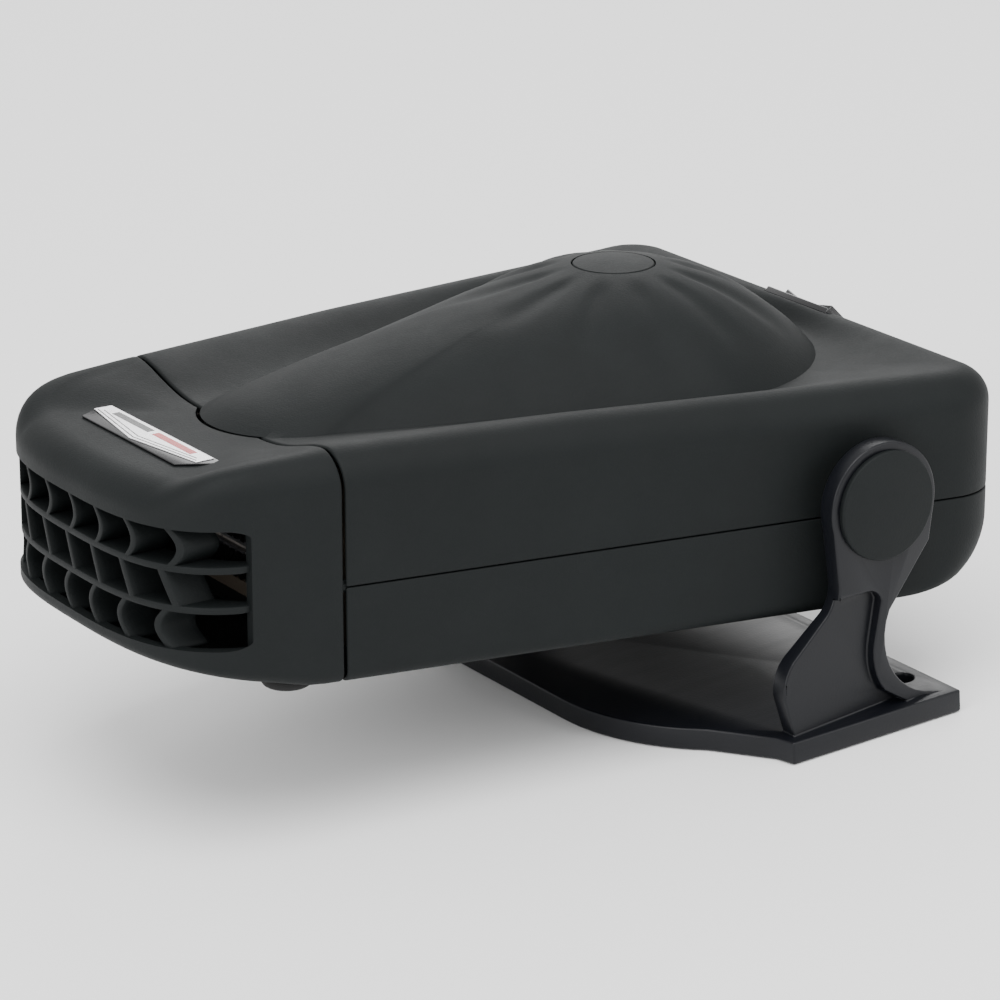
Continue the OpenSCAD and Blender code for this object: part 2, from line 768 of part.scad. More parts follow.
module housing_screws() {
    color([0.3, 0.3, 0.32]) in_heater() for (p = screw_xy) translate([p.x, p.y, floor_z]) {
        cylinder(r = 1.15, h = 26, $fn = 24);
        difference() {
            translate([0, 0, -1.6]) cylinder(r = 2.7, h = 1.6, $fn = 32);
            for (a = [0, 90]) rotate([0, 0, a]) translate([-1.6, -0.35, -2]) cube([3.2, 0.7, 1]);
        }
    }
}

// Where a wire meets a tag of the switch, in the housing's frame
function wire_end(y) = let (depth = (bezel_depth + switch_h + tag_h + 1) / sqrt(2))
    [seat_x - depth, y, seat_z - depth];

// A wire through the listed points
module wire(points, r) {
    for (i = [0:len(points) - 2]) hull() {
        translate(points[i]) sphere(r, $fn = 8);
        translate(points[i + 1]) sphere(r, $fn = 8);
    }
}

module wire_supply() {
    color([0.6, 0.1, 0.08]) in_heater() wire([[rear_len - 5.4, gland_y, gland_z], [27, -25, -2], [25, -16, 5],
        wire_end(tag_y[0])], 1);
}

module wire_motor() {
    color([0.8, 0.7, 0.1]) in_heater() wire([wire_end(tag_y[1]), [12, 4, 12], [0, 8, 23],
        [-12, 9, 28.6], [-21.4, 8, 28.8]], 0.9);
}

module wire_core() {
    color([0.1, 0.1, 0.1]) in_heater() wire([wire_end(tag_y[2]), [10, 22, 8], [-19, 36, 9],
        [-60, 32, 10], [-84, 32, 10], [-91, 36, 9], [-96, 36, 8.5]], 1);
}

yoke_bracket();
pivot_caps();
upper_shell();
dome_disc();
lower_shell();
nose_cap();
outlet_grille();
badge_plate();
badge_inlay();
front_feet();
intake_guard();
pivot_inserts();
pivot_screws();
friction_washers();
switch_bezel();
rocker();
switch_body();
switch_terminals();
motor_plate();
fan_motor();
motor_screws();
fan_wheel();
fan_shaft();
fan_scroll();
core_frame();
ptc_stones();
electrode_plates();
fin_packs();
thermal_cutout();
cable_gland();
housing_screws();
wire_supply();
wire_motor();
wire_core();
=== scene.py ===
"""Looks of a portable cabin heater and defroster on a tilting yoke bracket."""
import json
import math

import bmesh
import bpy
import numpy as np
from mathutils import Matrix, Vector


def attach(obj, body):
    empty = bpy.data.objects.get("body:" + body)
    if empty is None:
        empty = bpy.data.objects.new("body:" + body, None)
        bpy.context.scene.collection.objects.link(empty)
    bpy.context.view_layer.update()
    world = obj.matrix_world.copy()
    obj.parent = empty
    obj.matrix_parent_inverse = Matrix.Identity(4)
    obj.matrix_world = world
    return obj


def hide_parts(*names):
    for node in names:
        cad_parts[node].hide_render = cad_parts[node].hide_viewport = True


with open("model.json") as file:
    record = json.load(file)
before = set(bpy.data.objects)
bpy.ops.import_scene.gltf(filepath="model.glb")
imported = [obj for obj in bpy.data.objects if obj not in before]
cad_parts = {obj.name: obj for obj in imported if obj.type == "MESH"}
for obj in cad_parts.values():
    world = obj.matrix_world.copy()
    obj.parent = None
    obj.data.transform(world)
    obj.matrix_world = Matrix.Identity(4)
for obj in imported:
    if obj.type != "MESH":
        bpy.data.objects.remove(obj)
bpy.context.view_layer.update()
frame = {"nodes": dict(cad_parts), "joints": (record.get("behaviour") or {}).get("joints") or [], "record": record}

bl_info = {
    "name": "Cabin heater looks",
    "version": (1, 0, 0),
    "blender": (4, 5, 0),
    "location": "View3D > Sidebar > Heater",
    "description": "Shells, grille, bracket and finishes of a small cabin heater",
    "category": "Object",
}

MM = 0.001
PIVOT = Vector(next(j["pos_m"] for j in frame["joints"] if j["name"] == "tilt"))
REST_TILT = math.radians(3.5)
TILT = Matrix.Translation(PIVOT) @ Matrix.Rotation(REST_TILT, 4, "Y")

# The housing's sizes in millimetres, in the frame of the tilt axis
SEAM_X = 112.0
SEAM_GAP = 0.6
NOSE_X, NOSE_LEN, NOSE_HALF, NOSE_POWER, NOSE_TURN = 118.0, 31.5, 42.0, 3.0, 101.0
REAR_LEN, REAR_HALF, CORNER_R, REAR_DROP = 36.5, 66.2, 12.0, 0.065
TOP, BOTTOM, DECK, PARTING = 23.0, 24.0, 18.3, -4.0
TOP_FILLET, REAR_ROUND, EDGE_R = 7.5, 14.0, 2.5
NOSE_RISE, BROW_HALF, BROW_END = 7.0, 25.0, 14.0
DOME_X, DOME_R, CROWN, TIP_R, TIP_H = -18.5, 43.0, 38.2, 18.0, 4.0
TIP_REACH = 4.3
TIP_X = -(SEAM_X + TIP_REACH - TIP_R)
DISC_R, DISC_GAP, DISC_T = 9.0, 0.22, 0.6
MOUTH_X, MOUTH_LOW, MOUTH_HIGH, MOUTH_HALF = -131.0, -14.0, 10.5, 41.0
SIDE_ANGLE = math.degrees(math.atan((REAR_HALF - NOSE_HALF) / (REAR_LEN - CORNER_R + NOSE_X)))
SEAT_BACK, SEAT_UP = 4.4, 2.0
SEAT = (REAR_LEN - TOP_FILLET + SEAT_BACK, 0.0, TOP - TOP_FILLET + SEAT_UP)
BEZEL_W, BEZEL_L, BEZEL_PLAY, BEZEL_LEDGE = 11.0, 22.0, 0.1, 1.2
CUT, MOUTH_CORNER = 20.0, 1.8
FAN_X, GUARD_HOLE = -24.0, 44.0
UNDER_X = -40.0
PARTING_GAP, PARTING_ROLL = 0.14, 0.3
GRILLE_ROWS, GRILLE_DEPTH, RIB_BOW, RIB_LEAN = 3, 8.0, 2.4, 3.4
WHEEL_R, BLADE_CHORD, BLADE_T, BLADE_H, BLADE_MID = 35.6, 8.6, 1.0, 17.0, -9.8
BADGE_TOP = DECK + 0.76

# The camera, from the tilt axis, and its axes in metres
CAMERA_AT = Vector((-0.505985, -0.729502, 0.311477))
CAMERA_RIGHT = Vector((0.83527, -0.5474, -0.05176))
CAMERA_DOWN = Vector((-0.231, -0.26393, -0.93647))
CAMERA_AHEAD = Vector((0.49896, 0.79416, -0.3469))
CAMERA_LENS = 156.7

# How finely the shells are drawn
NOSE_STEPS, SIDE_STEPS, CORNER_STEPS, REAR_STEPS = 120, 46, 12, 30
BOWL_ROWS, DOME_ROWS = 14, 34
BODY_ZONE, DOME_ZONE = 0, 1


class Sock:
    """A node socket that does arithmetic: each operation adds a Math node."""

    def __init__(self, tree, socket):
        self.tree, self.socket = tree, socket

    def math(self, operation, *others):
        return self.tree.node("ShaderNodeMath", {"operation": operation}, self, *others)

    def __add__(self, other):
        return self.math("ADD", other)

    def __sub__(self, other):
        return self.math("SUBTRACT", other)

    def __rsub__(self, other):
        return self.tree.node("ShaderNodeMath", {"operation": "SUBTRACT"}, other, self)

    def __mul__(self, other):
        return self.math("MULTIPLY", other)

    def __truediv__(self, other):
        return self.math("DIVIDE", other)

    def __pow__(self, other):
        return self.math("POWER", other)

    __radd__ = __add__
    __rmul__ = __mul__

    def clamp(self, low=0.0, high=1.0):
        return self.math("MAXIMUM", low).math("MINIMUM", high)

    def part(self, axis):
        return self.tree.node("ShaderNodeSeparateXYZ", {}, self, out=axis)


class Tree:
    """A node tree that is written as expressions."""

    def __init__(self, tree):
        self.tree = tree

    def node(self, kind, settings, *values, out=0, **named):
        """Adds a node. Its settings come first, then what goes into its sockets."""
        made = self.tree.nodes.new(kind)
        for name, value in settings.items():
            setattr(made, name, value)
        pairs = list(enumerate(values)) + [(k.replace("_", " "), v) for k, v in named.items()]
        for key, value in pairs:
            self.put(made.inputs[key], value)
        return Sock(self, made.outputs[out])

    def put(self, socket, value):
        for item in value if isinstance(value, list) else [value]:
            if isinstance(item, Sock):
                self.tree.links.new(item.socket, socket)
            elif item is not None:
                socket.default_value = item

    def mix(self, factor, a, b):
        """A colour mixed from a to b."""
        made = self.tree.nodes.new("ShaderNodeMix")
        made.data_type = "RGBA"
        for key, value in ((0, factor), (6, a), (7, b)):
            self.put(made.inputs[key], value)
        return Sock(self, made.outputs[2])


def shader(name):
    """A new material, its tree and the coordinates of the object that wears it."""
    material = bpy.data.materials.new(name)
    material.use_nodes = True
    material.node_tree.nodes.clear()
    tree = Tree(material.node_tree)
    return material, tree, tree.node("ShaderNodeTexCoord", {}, out="Object")


def close_shader(tree, **sockets):
    """Ends a material in one Principled BSDF with the given sockets."""
    surface = tree.node("ShaderNodeBsdfPrincipled", {}, **sockets)
    end = tree.tree.nodes.new("ShaderNodeOutputMaterial")
    tree.tree.links.new(surface.socket, end.inputs["Surface"])


def noise(tree, place, scale, detail=3.0, roughness=0.5):
    return tree.node("ShaderNodeTexNoise", {}, Vector=place, Scale=scale, Detail=detail,
                     Roughness=roughness)


def bump(tree, height, distance):
    return tree.node("ShaderNodeBump", {}, Strength=1.0, Distance=distance, Height=height)


def tone(colour, factor):
    return tuple(c * factor for c in colour[:3]) + (1.0,)


def moulded_plastic(name, colour, roughness, grain, depth):
    """Moulded plastic with a spark-eroded grain, faint flow marks and soft handling marks."""
    material, tree, place = shader(name)
    fine = noise(tree, place, 1.0 / grain, 2.0, 0.6)
    coarse = noise(tree, place, 0.22 / grain, 3.0, 0.55)
    cloud = noise(tree, place, 26.0, 4.0, 0.6)
    marks = noise(tree, place, 90.0, 5.0, 0.7)
    height = fine * 0.7 + coarse * 0.3
    tint = tree.mix((cloud * 1.6 - 0.3).clamp(), tone(colour, 0.82), tone(colour, 1.2))
    speck = ((fine - 0.62) * 6.0).clamp()
    tint = tree.mix(speck * 0.35, tint, tone(colour, 1.9))
    rough = (marks - 0.5) * 0.14 + (fine - 0.5) * 0.12 + roughness
    close_shader(tree, Base_Color=tint, Roughness=rough.clamp(0.05, 0.95),
                 Normal=bump(tree, height, depth), Specular_IOR_Level=0.17)
    return material


def satin_plastic(name, colour, roughness):
    """Smoother moulded plastic with long faint flow lines and hairline scuffs."""
    material, tree, place = shader(name)
    stretched = tree.node("ShaderNodeMapping", {}, Vector=place, Scale=(1.0, 6.0, 1.0))
    flow = noise(tree, stretched, 40.0, 4.0, 0.6)
    fine = noise(tree, place, 1900.0, 2.0, 0.5)
    scuffs = noise(tree, tree.node("ShaderNodeMapping", {}, Vector=place, Scale=(1.0, 14.0, 9.0)),
                   160.0, 3.0, 0.7)
    line = ((scuffs - 0.66) * 9.0).clamp()
    tint = tree.mix((flow * 1.5 - 0.25).clamp(), tone(colour, 0.85), tone(colour, 1.18))
    tint = tree.mix(line * 0.25, tint, tone(colour, 2.2))
    rough = (flow - 0.5) * 0.16 + line * 0.12 + roughness
    close_shader(tree, Base_Color=tint, Roughness=rough.clamp(0.05, 0.95),
                 Normal=bump(tree, fine * 0.6 + flow * 0.4, 0.000035),
                 Specular_IOR_Level=0.26)
    return material


def gloss_plastic(name, colour):
    """Glossy black plastic with a slight orange peel and dust."""
    material, tree, place = shader(name)
    peel = noise(tree, place, 420.0, 2.0, 0.4)
    dust = ((noise(tree, place, 2600.0, 2.0, 0.6) - 0.68) * 8.0).clamp()
    tint = tree.mix(dust * 0.3, tone(colour, 1.0), (0.09, 0.09, 0.09, 1.0))
    close_shader(tree, Base_Color=tint, Roughness=(peel * 0.06 + dust * 0.3 + 0.2).clamp(),
                 Normal=bump(tree, peel, 0.00002), Coat_Weight=0.1)
    return material


def brushed_metal(name, colour, roughness, along=(1.0, 30.0, 30.0)):
    """Metal with a fine brushed line and uneven tone."""
    material, tree, place = shader(name)
    stretched = tree.node("ShaderNodeMapping", {}, Vector=place, Scale=along)
    lines = noise(tree, stretched, 120.0, 3.0, 0.6)
    cloud = noise(tree, place, 180.0, 3.0, 0.5)
    tint = tree.mix((lines * 0.7 + cloud * 0.5 - 0.1).clamp(), tone(colour, 0.78), tone(colour, 1.08))
    rough = (lines - 0.5) * 0.22 + roughness
    close_shader(tree, Base_Color=tint, Roughness=rough.clamp(0.05, 0.95), Metallic=1.0,
                 Normal=bump(tree, lines, 0.00002))
    return material


def fired_ceramic(name, colour):
    """Matt fired ceramic with pores."""
    material, tree, place = shader(name)
    pores = noise(tree, place, 2400.0, 3.0, 0.7)
    cloud = noise(tree, place, 200.0, 3.0, 0.5)
    tint = tree.mix((pores * 0.6 + cloud * 0.6 - 0.1).clamp(), tone(colour, 0.7), tone(colour, 1.15))
    close_shader(tree, Base_Color=tint, Roughness=(pores * 0.2 + 0.7).clamp(),
                 Normal=bump(tree, pores, 0.00006))
    return material


def floor_paper(name, colour):
    """Pale seamless paper with a barely visible tooth."""
    material, tree, place = shader(name)
    tooth = noise(tree, place, 900.0, 2.0, 0.5)
    cloud = noise(tree, place, 3.0, 2.0, 0.5)
    tint = tree.mix(cloud, tone(colour, 0.985), tone(colour, 1.0))
    close_shader(tree, Base_Color=tint, Roughness=tooth * 0.1 + 0.75)
    return material


def finishes():
    """Every finish by the name of its slot in the record, made once."""
    f = bpy.context.scene.heater_finish
    makers = {
        "housing_plastic": lambda n: moulded_plastic(n, f.housing, f.housing_roughness,
                                                     f.grain * MM, 0.00007),
        "bracket_plastic": lambda n: satin_plastic(n, f.bracket, f.bracket_roughness),
        "gloss_black": lambda n: gloss_plastic(n, (0.006, 0.006, 0.007)),
        "silver_foil": lambda n: brushed_metal(n, (0.86, 0.86, 0.87), 0.3),
        "foot_rubber": lambda n: moulded_plastic(n, (0.014, 0.014, 0.014), 0.78, 0.0006, 0.00006),
        "insert_brass": lambda n: brushed_metal(n, (0.72, 0.55, 0.25), 0.3),
        "screw_steel": lambda n: brushed_metal(n, (0.6, 0.6, 0.62), 0.32),
        "black_steel": lambda n: brushed_metal(n, (0.05, 0.05, 0.055), 0.42),
        "washer_nylon": lambda n: moulded_plastic(n, (0.02, 0.02, 0.02), 0.5, 0.0008, 0.00003),
        "inner_plastic": lambda n: moulded_plastic(n, (0.03, 0.03, 0.03), 0.55, 0.0007, 0.00005),
        "motor_steel": lambda n: brushed_metal(n, (0.5, 0.51, 0.52), 0.3, (20.0, 20.0, 1.0)),
        "core_resin": lambda n: moulded_plastic(n, (0.08, 0.065, 0.05), 0.6, 0.0008, 0.00006),
        "ceramic": lambda n: fired_ceramic(n, (0.26, 0.24, 0.22)),
        "core_aluminium": lambda n: brushed_metal(n, (0.12, 0.12, 0.125), 0.45, (30.0, 1.0, 30.0)),
        "tag_metal": lambda n: brushed_metal(n, (0.65, 0.62, 0.55), 0.3),
        "wire_red": lambda n: moulded_plastic(n, (0.42, 0.02, 0.015), 0.42, 0.0009, 0.00002),
        "wire_yellow": lambda n: moulded_plastic(n, (0.6, 0.42, 0.04), 0.42, 0.0009, 0.00002),
        "wire_black": lambda n: moulded_plastic(n, (0.02, 0.02, 0.02), 0.42, 0.0009, 0.00002),
        "badge_ink_dark": lambda n: gloss_plastic(n, (0.012, 0.012, 0.013)),
        "badge_ink_red": lambda n: gloss_plastic(n, (0.42, 0.012, 0.015)),
    }
    for name, make in makers.items():
        if name not in bpy.data.materials or "ready" not in bpy.data.materials[name]:
            made = make(name)
            made.name, made["ready"] = name, True


def finish_named(name):
    return next(m for m in bpy.data.materials if m.get("ready") and m.name.split(".")[0] == name)


def slot_of(node):
    return next(s["material_slot"] for s in frame["record"]["subparts"] if s["node"] == node)


def body_of_node(node):
    bodies = frame["record"]["behaviour"]["bodies"]
    return next(body for body, nodes in bodies.items() if node in nodes)


def link(name, mesh):
    piece = bpy.data.objects.new(name, mesh)
    bpy.context.scene.collection.objects.link(piece)
    return piece


def settle(piece):
    """Turns a piece with modifiers into a plain mesh with no modifier left."""
    bpy.context.view_layer.update()
    shape = piece.evaluated_get(bpy.context.evaluated_depsgraph_get())
    mesh = bpy.data.meshes.new_from_object(shape)
    piece.modifiers.clear()
    piece.data = mesh
    return piece


def shade(mesh, angle=32.0):
    mesh.shade_smooth()
    mesh.set_sharp_from_angle(angle=math.radians(angle))


def stand_for(piece, node, finish=None):
    """The piece rides on the node's body, takes its finish and stands for it."""
    slot = slot_of(node)
    piece.data.materials.clear()
    piece.data.materials.append(finish_named(finish or slot))
    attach(piece, body_of_node(node))
    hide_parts(node)


def arc_points(x, y, r, start, end, steps):
    a = np.radians(np.linspace(start, end, steps + 1))
    return np.stack([x + r * np.cos(a), y + r * np.sin(a)], 1)


def smooth(t):
    t = np.clip(t, 0.0, 1.0)
    return t * t * (3.0 - 2.0 * t)


def plan_ring(rear, inset):
    """The housing in plan, inset from its outer surface, with its rear face at x = rear."""
    a = np.radians(np.linspace(NOSE_TURN, 360.0 - NOSE_TURN, NOSE_STEPS + 1))
    bend = 2.0 / NOSE_POWER
    nose = np.stack([
        -NOSE_X + (NOSE_LEN - inset) * np.sign(np.cos(a)) * np.abs(np.cos(a)) ** bend,
        (NOSE_HALF - inset) * np.sign(np.sin(a)) * np.abs(np.sin(a)) ** bend], 1)
    near = arc_points(rear - CORNER_R, CORNER_R - REAR_HALF, CORNER_R - inset,
                      -90.0 - SIDE_ANGLE, 0.0, CORNER_STEPS)
    u = np.linspace(0.0, 1.0, SIDE_STEPS + 1)[1:-1, None]
    side = nose[-1] + (near[0] - nose[-1]) * u
    v = np.linspace(0.0, 1.0, REAR_STEPS + 1)[1:-1, None]
    flip = np.array([1.0, -1.0])
    back = near[-1] + (near[-1] * flip - near[-1]) * v
    return np.concatenate([nose, side, near, back, near[::-1] * flip, side[::-1] * flip])


def housing_levels():
    """Height, rear face and inset of each ring, from the underside to the crest."""
    levels = []
    for a in np.radians(np.linspace(0.0, 90.0, 17)):
        h = REAR_ROUND * (1.0 - math.cos(a))
        left = max(0.0, EDGE_R - h)
        levels.append((h - BOTTOM, REAR_LEN - REAR_ROUND * (1.0 - math.sin(a)),
                       EDGE_R - math.sqrt(EDGE_R ** 2 - left ** 2)))
    levels += [(z, REAR_LEN, 0.0) for z in (-7.0, -4.0, 0.0, 4.0, 8.0, 12.0)]
    for a in np.radians(np.linspace(0.0, 90.0, 13)):
        levels.append((TOP - TOP_FILLET * (1.0 - math.sin(a)), REAR_LEN,
                       TOP_FILLET * (1.0 - math.cos(a))))
    return levels


def shaped_height(ring, z):
    """The brow dips in the middle, the crest falls to the rear, the underside rises to the front."""
    x, y = ring[:, 0], ring[:, 1]
    if z > 0:
        dip = (1.0 - DECK / TOP) * (1.0 - smooth((np.abs(y) - BROW_HALF) / BROW_END))
        fall = REAR_DROP * np.clip((x + 60.0) / 80.0, 0.0, 1.0)
        return z * (1.0 - dip * smooth((-SEAM_X - x + 3.0) / 9.0)) * (1.0 - fall)
    return z * (1.0 - NOSE_RISE / BOTTOM * np.maximum(0.0, (-x - NOSE_X) / NOSE_LEN))


def teardrop_edge(ring, grow):
    """The point of the teardrop's edge that faces each point of the ring."""
    x = np.clip(ring[:, 0], TIP_X, DOME_X)
    u = (x - TIP_X) / (DOME_X - TIP_X)
    away = np.stack([ring[:, 0] - x, ring[:, 1]], 1)
    away /= np.linalg.norm(away, axis=1)[:, None]
    r = TIP_R + (DOME_R - TIP_R) * u + grow
    return np.stack([x, np.zeros_like(x)], 1) + away * r[:, None]


def dome_height(xy):
    """Top of the smooth hull of two balls, one under the crown and one under the tip."""
    big = (DOME_R ** 2 + (CROWN - DECK) ** 2) / (2.0 * (CROWN - DECK))
    small = (TIP_R ** 2 + TIP_H ** 2) / (2.0 * TIP_H)
    centre = CROWN - big
    span = DOME_X - TIP_X
    k = (big - small) / span
    x = xy[:, 0] - DOME_X
    s = np.clip(-(k * big + x) / (1.0 - k * k), 0.0, span)
    return centre + np.sqrt(np.maximum((big - k * s) ** 2 - (x + s) ** 2 - xy[:, 1] ** 2, 0.0))


def flutes(xy, count, depth):
    """Shallow scoops that run out from the disc, in millimetres below the dome."""
    x, y = xy[:, 0] - DOME_X, xy[:, 1]
    rho = np.hypot(x, y)
    wave = 0.5 + 0.5 * np.cos(count * np.arctan2(y, x) + math.pi)
    reach = smooth((rho - 11.0) / 7.0) * (1.0 - smooth((rho - 28.0) / 13.0))
    return depth * wave ** 2.2 * reach


def ring3(xy, z):
    return np.column_stack([xy, np.broadcast_to(z, len(xy))])


def housing_rows(grow, count, depth, with_dome):
    """Rings of points from the middle of the underside to the disc, with each band's zone."""
    rings = [plan_ring(rear, inset) for _, rear, inset in housing_levels()]
    rows = [ring3(r, shaped_height(r, z)) for r, (z, _, _) in zip(rings, housing_levels())]
    first = rows[0]
    under = []
    for scale in (0.15, 0.45, 0.75, 0.97):
        xy = first[:, :2].copy()
        xy[:, 0] = np.maximum(UNDER_X + (xy[:, 0] - UNDER_X) * scale,
                              UNDER_X - (NOSE_X + UNDER_X) * min(1.0, scale + 0.03))
        xy[:, 1] *= scale
        under.append(ring3(xy, -BOTTOM))
    rows = under + rows
    crest = rows[-1]
    edge = teardrop_edge(crest, grow)
    for t in np.linspace(0.0, 1.0, BOWL_ROWS + 1)[1:]:
        fall = 0.35 * t + 0.65 * smooth(t)
        rows.append(ring3(crest[:, :2] + (edge - crest[:, :2]) * t,
                          crest[:, 2] + (DECK - crest[:, 2]) * fall))
    zones = [BODY_ZONE] * (len(rows) - 1)
    if with_dome:
        away = edge - np.array([DOME_X, 0.0])
        disc = np.array([DOME_X, 0.0]) + away / np.linalg.norm(away, axis=1)[:, None] * DISC_R
        extra = dome_height(edge) - DECK
        for w in np.linspace(0.0, 1.0, DOME_ROWS + 1)[1:]:
            xy = edge + (disc - edge) * w
            z = dome_height(xy) - extra * (1.0 - w) ** 3 - flutes(xy, count, depth)
            rows.append(ring3(xy, z))
            zones.append(DOME_ZONE)
    return rows, zones


def rows_to_bmesh(rows, zones, centre=None):
    """Quads between rings, and a fan to a centre point under the first ring."""
    bm = bmesh.new()
    grid = [[bm.verts.new(p) for p in row] for row in rows]
    n = len(grid[0])
    for low, high, zone in zip(grid, grid[1:], zones):
        for i in range(n):
            k = (i + 1) % n
            bm.faces.new((low[i], low[k], high[k], high[i])).material_index = zone
    if centre is not None:
        hub = bm.verts.new(centre)
        for i in range(n):
            bm.faces.new((hub, grid[0][(i + 1) % n], grid[0][i]))
    bmesh.ops.recalc_face_normals(bm, faces=bm.faces)
    return bm


def trim(bm, at, out, roll, zone=None):
    """Cuts away what lies behind the plane and rolls the edge that is left inwards."""
    at, out = Vector(at), Vector(out).normalized()
    for step in (0.0, 0.08, 0.3, 0.6, 1.0):
        bmesh.ops.bisect_plane(bm, geom=bm.verts[:] + bm.edges[:] + bm.faces[:], dist=1e-5,
                               plane_co=at + out * roll * step, plane_no=out)
    gone = [f for f in bm.faces if (f.calc_center_median() - at).dot(out) < 0
            and (zone is None or f.material_index == zone)]
    bmesh.ops.delete(bm, geom=gone, context="FACES")
    bm.normal_update()
    moves = []
    for v in bm.verts:
        e = (v.co - at).dot(out)
        if -1e-4 < e < roll and all(zone is None or f.material_index == zone for f in v.link_faces):
            left = roll - e
            moves.append((v, v.normal * (roll - math.sqrt(max(roll * roll - left * left, 0.0)))))
    for v, move in moves:
        v.co -= move


def to_piece(name, bm, matrix=TILT):
    """A linked object whose mesh is in the row frame, in metres, from one in millimetres."""
    bm.transform(matrix @ Matrix.Scale(MM, 4))
    mesh = bpy.data.meshes.new(name)
    bm.to_mesh(mesh)
    bm.free()
    return link(name, mesh)


def walled(piece, wall, cutters=()):
    """Gives a sheet its wall and cuts the openings."""
    solid = piece.modifiers.new("wall", "SOLIDIFY")
    solid.thickness, solid.offset = wall * MM, -1.0
    solid.use_rim, solid.use_quality_normals = True, True
    settle(piece)
    for cutter in cutters:
        cut = piece.modifiers.new("opening", "BOOLEAN")
        cut.operation, cut.solver, cut.object = "DIFFERENCE", "MANIFOLD", cutter
        settle(piece)
        bpy.data.objects.remove(cutter)
    for face in piece.data.polygons:
        face.material_index = 0
    shade(piece.data)
    return piece


def cylinder_cutter(name, r, depth, matrix):
    bm = bmesh.new()
    bmesh.ops.create_cone(bm, cap_ends=True, segments=96, radius1=r, radius2=r, depth=depth)
    return to_piece(name, bm, TILT @ scaled(matrix))


def scaled(matrix):
    """A placement in millimetres as one in metres."""
    made = matrix.copy()
    made.translation = matrix.translation * MM
    return made


def rounded_bar(width, height, depth, r):
    """A prism along x with a rounded rectangular section in y and z."""
    bm = bmesh.new()
    ring = np.concatenate([arc_points(sy * (width / 2 - r), sz * (height / 2 - r), r, a, a + 90, 6)
                           for sy, sz, a in ((1, 1, 0), (-1, 1, 90), (-1, -1, 180), (1, -1, 270))])
    front = [bm.verts.new((-depth / 2, y, z)) for y, z in ring]
    back = [bm.verts.new((depth / 2, y, z)) for y, z in ring]
    n = len(ring)
    for i in range(n):
        k = (i + 1) % n
        bm.faces.new((front[i], front[k], back[k], back[i]))
    bm.faces.new(front[::-1])
    bm.faces.new(back)
    bmesh.ops.recalc_face_normals(bm, faces=bm.faces)
    return bm


def box_cutter(name, size, matrix):
    bm = bmesh.new()
    bmesh.ops.create_cube(bm, size=1.0)
    bmesh.ops.scale(bm, vec=size, verts=bm.verts)
    return to_piece(name, bm, TILT @ scaled(matrix))


def softened(name, node, radius, segments=3, finish=None):
    """A merged copy of a CAD node with its edges rounded off, which stands for the node."""
    source = frame["nodes"][node]
    bm = bmesh.new()
    bm.from_mesh(source.data)
    bmesh.ops.remove_doubles(bm, verts=bm.verts, dist=2e-6)
    bmesh.ops.dissolve_limit(bm, angle_limit=math.radians(0.6), verts=bm.verts, edges=bm.edges)
    mesh = bpy.data.meshes.new(name)
    bm.to_mesh(mesh)
    bm.free()
    piece = link(name, mesh)
    soft = piece.modifiers.new("edge", "BEVEL")
    soft.width, soft.segments, soft.limit_method = radius * MM, segments, "ANGLE"
    soft.angle_limit, soft.use_clamp_overlap = math.radians(35.0), False
    soft.miter_outer = "MITER_ARC"
    settle(piece)
    shade(piece.data, 40.0)
    stand_for(piece, node, finish)
    return piece


def apply_tree(piece, tree, values):
    """Runs a geometry tree on the piece with its inputs set by name."""
    run = piece.modifiers.new(tree.name, "NODES")
    run.node_group = tree
    names = {s.name: s.identifier for s in tree.interface.items_tree if s.item_type == "SOCKET"
             and s.in_out == "INPUT"}
    for name, value in values.items():
        run[names[name]] = value
    return settle(piece)


def geometry_tree(name, inputs):
    """A geometry tree with its inputs, as a Tree with one Sock for each input's name."""
    group = bpy.data.node_groups.new(name, "GeometryNodeTree")
    group.interface.new_socket("Geometry", in_out="INPUT", socket_type="NodeSocketGeometry")
    group.interface.new_socket("Geometry", in_out="OUTPUT", socket_type="NodeSocketGeometry")
    for label, kind in inputs:
        group.interface.new_socket(label, in_out="INPUT", socket_type=kind)
    tree = Tree(group)
    start = group.nodes.new("NodeGroupInput")
    tree.given = {s.name: Sock(tree, s) for s in start.outputs if s.name}
    return tree


def end_geometry(tree, shape):
    """Ends a tree in Realize Instances and Set Material."""
    solid = tree.node("GeometryNodeRealizeInstances", {}, shape)
    worn = tree.node("GeometryNodeSetMaterial", {}, solid, Material=tree.given["Finish"])
    stop = tree.tree.nodes.new("NodeGroupOutput")
    tree.tree.links.new(worn.socket, stop.inputs[0])
    return tree.tree


FLOAT, COUNT, FINISH = "NodeSocketFloat", "NodeSocketInt", "NodeSocketMaterial"


